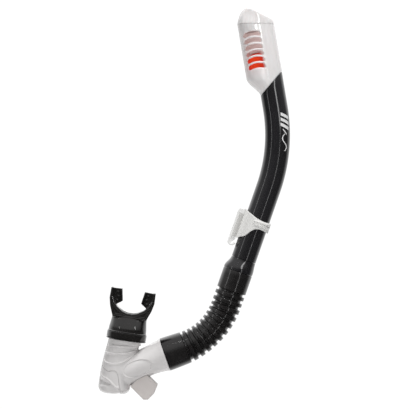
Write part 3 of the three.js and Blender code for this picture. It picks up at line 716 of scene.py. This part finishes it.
def purge_frame(x, z):
    return local(x, z, PURGE, PURGE_LEAN)


def cover_region(x, z):
    """Distance outside the region of the sump cover, in the plane."""
    return flat_shape(x, z, curved([*COVER_EDGE, (-165, -192), (-165, -155)], 4))


def sump_end(along, radial, grow):
    """A round bar's end with a rounded rim."""
    a = radial - SUMP_R - grow + SUMP_CORNER
    b = along - SUMP_END - grow + SUMP_CORNER
    return np.minimum(np.maximum(a, b), 0) + np.hypot(np.maximum(a, 0), np.maximum(b, 0)) - SUMP_CORNER


def bead(below, fade=1):
    """A rounded rim along a line, with a soft rise over it and a sharp drop under it."""
    rise = smoothstep(below, -1.3, 0.1)
    drop = 1 - 0.85 * smoothstep(below, 0.8, 1.8)
    return 1.4 * rise * drop * (1 - smoothstep(below, 1.5, 8)) * fade


def scales(x, z):
    """How far the stub's overlapping bands stand out, each with a rim along its lower edge."""
    first = -130.6 - 0.07 * (x + 140)
    second = -138.9 - 0.9 * smoothstep(x, -146, -134) + 0.0085 * np.maximum(x + 131, 0) ** 2
    right_end = 1 - smoothstep(x, -113, -107)
    return bead(first - z, 0.6 * (1 - smoothstep(x, -110, -102))) + bead(second - z, right_end)


ARM_EDGE = [(-152, -146.6), (-145.1, -149.2), (-137.7, -151), (-129.9, -150.2), (-121, -146.5),
            (-111.5, -140.8), (-101.1, -134), (-96, -130.5), (-60, -130.5), (-60, -200), (-152, -200)]


def arm_swell(x, z):
    """The arm and sump stand proud of the stub below a curved rim that runs up to the crotch."""
    inside = -flat_shape(x, z, curved(ARM_EDGE, 3))
    rim = smoothstep(inside, -1.2, 0.1) * (1 - 0.5 * smoothstep(inside, 0.9, 2.2))
    return 1.1 * rim * (1 - smoothstep(x, -120, -109))


def housing_form(x, y, z, grow=0):
    across, along = arm_route.unbend(x, z)
    arm_radius = ARM_R + ARM_FLARE * np.exp(-np.maximum(along, 0) / ARM_FLARE_FADE)
    arm_y = y * (1 - 0.14 * smoothstep(along, 4, 34))
    arm = meet(np.hypot(across, arm_y) - arm_radius - grow, along - ARM_END - grow, 6)
    arm = np.maximum(arm, -along - (3 if grow else 0))
    across, along = sump_route.unbend(x, z)
    sump = np.maximum(sump_end(along, np.hypot(across, y), grow), -3 - along)
    if not grow:
        facing = 0.1 + 0.9 * smoothstep(np.abs(y), 2, 9)
        sump = sump - (scales(x, z) + arm_swell(x, z) - 0.35) * facing
    u, w = mouth_frame(x, z)
    above = np.maximum(-GAP + grow - w, np.abs(u) - CUFF_R - 2)
    return meet(join(arm, sump, 1.6), -above, 0.6)


def sculpted_housing(x, y, z):
    """The outer form with its sunk oval panel."""
    form = housing_form(x, y, z)
    u, w = local(x, z, OVAL["centre"], 0)
    sine, cosine = math.sin(math.radians(OVAL["lean"])), math.cos(math.radians(OVAL["lean"]))
    oval = np.hypot((u * cosine + w * sine) / OVAL["long"], (w * cosine - u * sine) / OVAL["short"])
    dish = 0.8 * (1 - smoothstep(oval, 0.93, 1.03))
    return form + dish


def housing_field(x, y, z):
    form = sculpted_housing(x, y, z)
    u, w = mouth_frame(x, z)
    stub = np.maximum(np.hypot(u, y) - STUB_R, np.maximum(w - STUB_TOP, -4 - w))
    p, q = purge_frame(x, z)
    boss = np.maximum(np.hypot(p, y) - BOSS_R, np.abs(q + 0.5) - 4.5)
    a, s = local(x, z, arm_top, HOSE_END_LEAN)
    spigot = np.maximum(np.hypot(a, y) - ARM_SPIGOT_R, np.abs(s - 7) - 11)
    form = carve(form, cover_region(x, z) - SEAM_GAP, 0.7)
    body = np.minimum.reduce([np.minimum(form, stub), boss, spigot])
    hollow = np.minimum.reduce([
        np.maximum(housing_form(x, y, z, -WALL), s - 1.5),
        np.maximum(np.hypot(u, y) - STUB_BORE_R, -3 - w),
        np.maximum(np.hypot(a, y) - ARM_BORE_R, np.abs(s - 11) - 19),
        np.maximum(np.hypot(p, y) - PURGE_BORE_R, np.abs(q) - 10),
    ])
    return np.maximum(body, -hollow)


def cover_field(x, y, z):
    """The sump cover: a long ridge runs down across it, over a scooped hollow."""
    form = housing_form(x, y, z)
    ridge = flat_shape(x, z, curved([(-156, -160), (-147.6, -165.6), (-143.4, -167.2), (-139.2, -171),
                                     (-135.4, -174.8), (-131.6, -177.4), (-129.6, -178.4), (-124, -200),
                                     (-156, -200)], 3))
    crest = 0.8 * np.exp(-((ridge / 0.9) ** 2))
    under_ridge = 0.7 * smoothstep(-ridge, 0.2, 2.4) * (1 - smoothstep(-ridge, 2.5, 9))
    scoop = flat_shape(x, z, [(-156, -165), (-148, -168), (-140.5, -172.4), (-137.6, -174.2), (-148, -175),
                              (-156, -175.5)])
    hollow = 1.9 * smoothstep(-scoop, -0.6, 1.6)
    facing = smoothstep(np.abs(y), 1, 8)
    body = form + 0.2 + (under_ridge + hollow * (0.35 + 0.65 * facing) - crest) * (0.2 + 0.8 * facing)
    body = meet(body, cover_region(x, z) + SEAM_GAP, 0.7)
    return np.maximum(body, -(form + WALL + 2))


def deflector_field(x, y, z):
    p, q = purge_frame(x, z)
    outline = [(-11.2, 9), (-11.2, -17.5), (-7.9, -20.8), (2, -20.8), (11, -17.1), (11.2, 6)]
    flat = flat_shape(p, q, outline)
    body = thick(flat, y, DUCT_HALF_DEPTH, 1.2)
    inside = np.maximum(np.abs(p) - 9.6, np.abs(y) - DUCT_HALF_DEPTH + 1.6)
    body = carve(body, inside, 0.4)
    body = np.maximum(body, GAP + 0.1 - housing_form(x, y, z))
    return np.maximum(body, np.maximum(BOSS_R + GAP - np.hypot(p, y) - FAR * (q < -5.4), q - 3))


# ---- Mouthpiece ------------------------------------------------------------------------------------
def mouthpiece_field(x, y, z):
    u, w = mouth_frame(x, z)
    narrow = smoothstep(w, 12, 32)
    radial = np.hypot(u, y / (1 - 0.36 * narrow))
    radius = np.interp(w, [0, 8.6, 9.4, 13, 19, 27.5, 40], [22.1, 22, 20.9, 20.7, 19.8, 18.6, 18.2])
    groove = 1.5 * (smoothstep(w, 1.1, 1.5) - smoothstep(w, 8.4, 8.8))
    cuff = meet(radial - radius + groove, np.abs(w - 14) - 14, 0.8)

    right = [(18.6, 24.5), (23, 35.5), (24.9, 44), (24.6, 55.6), (22.4, 55.6), (21.6, 46), (18.8, 40.2),
             (14.6, 35.4), (8, 31.2), (3, 29.8)]
    shield = [*right, *[(-a, b) for a, b in right[::-1]]]
    flat = flat_shape(u, w, shield)
    lines = np.exp(-(((flat + 1.3) / 0.5) ** 2)) + 0.7 * np.exp(-(((flat + 2.9) / 0.5) ** 2))
    depth = LIP_HALF_DEPTH - 3.5 * (np.abs(u) / 24) ** 2 + 0.6 * lines
    flange = thick(flat, y * LIP_HALF_DEPTH / depth, LIP_HALF_DEPTH, 0.9)
    body = join(cuff, flange, 2.2)

    side = np.abs(u)
    tab = flat_shape(side, w, [(23, 55), (12.6, 55.4), (10, 42.2), (16.8, 37.4), (21, 42)])
    bumps = np.minimum.reduce([np.hypot(side - a, w - b) - 1.1 for a, b in TAB_BUMPS])
    tab_depth = TAB_HALF_DEPTH + 0.6 * (1 - smoothstep(bumps, -0.8, 0.6))
    plate = thick(tab, y * TAB_HALF_DEPTH / tab_depth, TAB_HALF_DEPTH, 0.7)
    lug = flat_shape(side, w, [(15, 55.2), (12.6, 55.4), (10, 42.2), (12.4, 40.6)])
    lug = thick(lug, y, 4.2, 1.2)
    body = join(body, join(plate, lug, 1.0), 1.2)

    bore_radius = np.interp(w, [13.6, 13.7, 24], [STUB_R + GAP, 15.2, 11.5])
    bore = np.hypot(u, y / (1 - 0.4 * narrow)) - bore_radius
    return carve(body, bore, 0.8)


def band_field(x, y, z):
    u, w = mouth_frame(x, z)
    radial = np.hypot(u, y)
    ring = meet(np.abs(radial - BAND_R) - 0.6, np.abs(w - BAND_MIDDLE) - 3.25, 0.4)
    head = thick(np.maximum(np.abs(y - BAND_HEAD) - 1.4, np.abs(w - BAND_MIDDLE) - 3.4), u, 3.6, 0.6)
    notch = np.maximum(np.abs(u) - 0.5, 22.9 - y)
    return carve(join(ring, head, 0.8), notch, 0.3)


# ---- Assembly --------------------------------------------------------------------------------------
def replace(piece, body, slot, *nodes):
    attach(piece, body)
    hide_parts(*nodes)


replace(make_cap_body(), "tube", "white_plastic", "cap_shell")
replace(sculpt("cap_roof", "cap_lid", cap_lid_field, CAP), "tube", "white_plastic", "cap_lid")
replace(make_float(), "float", "float_red", "float_shell")
replace(make_tube(), "tube", "tube_black", "upper_tube")
replace(make_collar(), "tube", "tube_black", "hose_collar")
replace(sculpt("keeper_body", "keeper_clip", keeper_field, KEEPER, 0.28), "keeper", "white_plastic",
        "keeper_clip")
replace(sculpt("keeper_hook", "strap_hook", hook_field, HOOK, 0.28), "keeper", "hook_plastic", "strap_hook")
replace(sculpt("housing_body", "lower_housing", housing_field, WHITE, 0.32), "housing", "white_plastic",
        "lower_housing")
replace(sculpt("housing_cover", "sump_cover", cover_field, WHITE, 0.32), "housing", "white_plastic",
        "sump_cover")
replace(sculpt("housing_deflector", "exhaust_deflector", deflector_field, DEFLECTOR), "housing",
        "deflector_plastic", "exhaust_deflector")
replace(sculpt("mouth_body", "mouthpiece", mouthpiece_field, MOUTH, 0.3), "mouth", "mouth_silicone",
        "mouthpiece")
replace(sculpt("mouth_band", "mouthpiece_band", band_field, MOUTH, 0.3), "mouth", "mouth_silicone",
        "mouthpiece_band")

marks = make_marks()
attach(marks, "tube")

hose = make_hose()
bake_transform(hose)
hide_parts("flex_hose")

carried = {
    "chamber_frame": INNER_PAINTED_GLOW,
    "valve_seat": SEAL,
    "float_plug": RED_PAINTED_GLOW,
    "float_seal": SEAL,
    "cap_oring": HOSE,
    "purge_seat": INNER_PAINTED_GLOW,
    "purge_diaphragm": SEAL,
}
for name, material in carried.items():
    for material_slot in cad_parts[name].material_slots:
        material_slot.material = material


# ---- Studio ----------------------------------------------------------------------------------------
FLOOR_HALF = 1.3
DIFFUSE_SHARE = 0.2
DIM = 0.06  # in front and below
GLOWS = [("Y", 0.05, 0.6, 0.9), ("Z", 0, 0.6, 0.6)]  # brighter behind and above
WHITE_BACKGROUND = 1.05
FLOOR_DROP = 0.16
VIEW_CENTRE = Vector((-0.0363, 0, 0.0231))
VIEW_WIDTH = 0.4499
VIEW_DISTANCE = 2.6
SENSOR = 36


def make_floor(height):
    half = FLOOR_HALF
    corners = [(-half, -half, height), (half, -half, height), (half, half, height), (-half, half, height)]
    mesh = bpy.data.meshes.new("studio_floor")
    mesh.from_pydata(corners, [], [(0, 1, 2, 3)])
    mesh.materials.append(make_material("floor_white", (0.8, 0.8, 0.8), 0.8, grain_depth=0.0001))
    floor = bpy.data.objects.new("studio_floor", mesh)
    bpy.context.scene.collection.objects.link(floor)
    floor.visible_glossy = False


def add_light(name, place, target, size, power, in_reflections=True, only=None):
    data = bpy.data.lights.new(name, "AREA")
    data.shape = "RECTANGLE"
    data.size, data.size_y = size
    data.energy = power
    lamp = bpy.data.objects.new(name, data)
    lamp.location = place
    lamp.rotation_mode = "QUATERNION"
    lamp.rotation_quaternion = (Vector(target) - Vector(place)).to_track_quat("-Z", "Y")
    lamp.visible_glossy = in_reflections
    lamp.visible_camera = False
    if only:
        lamp.light_linking.receiver_collection = only
    bpy.context.scene.collection.objects.link(lamp)


def light_group(name, *pieces):
    group = bpy.data.collections.new(name)
    for piece in pieces:
        group.objects.link(bpy.data.objects[piece])
    return group


def make_world():
    """White to the camera; in reflections bright behind the object and dim in front of it."""
    world = bpy.data.worlds.new("studio")
    bpy.context.scene.world = world
    world.use_nodes = True
    tree = world.node_tree
    nodes, links = tree.nodes, tree.links
    back = nodes["Background"]
    back.inputs["Color"].default_value = (1, 1, 1, 1)
    seen = nodes.new("ShaderNodeBackground")
    seen.inputs["Color"].default_value = (1, 1, 1, 1)
    seen.inputs["Strength"].default_value = WHITE_BACKGROUND
    coordinates = nodes.new("ShaderNodeTexCoord")
    split = nodes.new("ShaderNodeSeparateXYZ")
    links.new(coordinates.outputs["Generated"], split.inputs[0])
    glow = None
    for axis, start, end, amount in GLOWS:
        ramp = nodes.new("ShaderNodeMapRange")
        ramp.interpolation_type = "SMOOTHSTEP"
        ramp.inputs["From Min"].default_value = start
        ramp.inputs["From Max"].default_value = end
        ramp.inputs["To Min"].default_value = 0
        ramp.inputs["To Max"].default_value = amount
        links.new(split.outputs[axis], ramp.inputs["Value"])
        add = nodes.new("ShaderNodeMath")
        add.operation = "ADD"
        add.inputs[1].default_value = DIM
        links.new(ramp.outputs["Result"], add.inputs[0])
        if glow:
            links.new(glow, add.inputs[1])
        glow = add.outputs[0]
    path = nodes.new("ShaderNodeLightPath")
    share = nodes.new("ShaderNodeMapRange")
    share.inputs["To Min"].default_value = DIFFUSE_SHARE
    links.new(path.outputs["Is Glossy Ray"], share.inputs["Value"])
    strength = nodes.new("ShaderNodeMath")
    strength.operation = "MULTIPLY"
    links.new(glow, strength.inputs[0])
    links.new(share.outputs["Result"], strength.inputs[1])
    links.new(strength.outputs[0], back.inputs["Strength"])
    mix = nodes.new("ShaderNodeMixShader")
    links.new(path.outputs["Is Camera Ray"], mix.inputs["Fac"])
    links.new(back.outputs[0], mix.inputs[1])
    links.new(seen.outputs[0], mix.inputs[2])
    links.new(mix.outputs[0], nodes["World Output"].inputs["Surface"])


def make_camera():
    """Level, straight on to the plane of the bends, with a long lens."""
    data = bpy.data.cameras.new("camera")
    data.sensor_width = SENSOR
    data.lens = SENSOR * VIEW_DISTANCE / VIEW_WIDTH
    camera = bpy.data.objects.new("camera", data)
    camera.location = VIEW_CENTRE - Vector((0, VIEW_DISTANCE, 0))
    camera.rotation_euler = (math.radians(90), 0, 0)
    bpy.context.scene.collection.objects.link(camera)
    bpy.context.scene.camera = camera


make_floor(cad_bounds[0][2] - FLOOR_DROP)
make_world()
make_camera()
middle = (-0.04, 0, 0.02)
add_light("key", (0.45, -0.5, 2.0), middle, (1.0, 1.0), 46, in_reflections=False)
add_light("fill", (-0.7, -1.8, -0.1), middle, (1.2, 0.8), 12, in_reflections=False)
dark = light_group("dark_pieces", "tube_upper", "collar_flare", "hose_corrugated", "tube_marks")
caps = light_group("cap_pieces", "cap_body", "cap_roof")
mouths = light_group("mouth_pieces", "mouth_body", "mouth_band")
add_light("strip_left", (-1.35, -0.92, 0.1), middle, (0.10, 1.6), 1.3, only=dark)
add_light("strip_upper", (0.64, -1.42, 0.62), middle, (0.26, 0.9), 4, only=dark)
add_light("strip_lower", (0.64, -1.42, -0.35), middle, (0.07, 0.9), 0.8, only=dark)
add_light("cuff_glint", (-0.3, -0.9, 1.2), middle, (0.2, 0.05), 1.2, only=dark)
add_light("cap_streak", (0.52, -1.42, 0.42), middle, (0.28, 0.03), 1.5, only=caps)
add_light("funnel_glint", (0.29, -1.48, 0.145), middle, (0.3, 0.015), 0.5, only=caps)
add_light("neck_left", (-1.3, -0.9, 0.7), middle, (0.03, 0.6), 0.8, only=mouths)
add_light("neck_right", (1.2, -0.9, 0.7), middle, (0.05, 0.6), 1.2, only=mouths)
bpy.context.scene.view_settings.view_transform = "Standard"
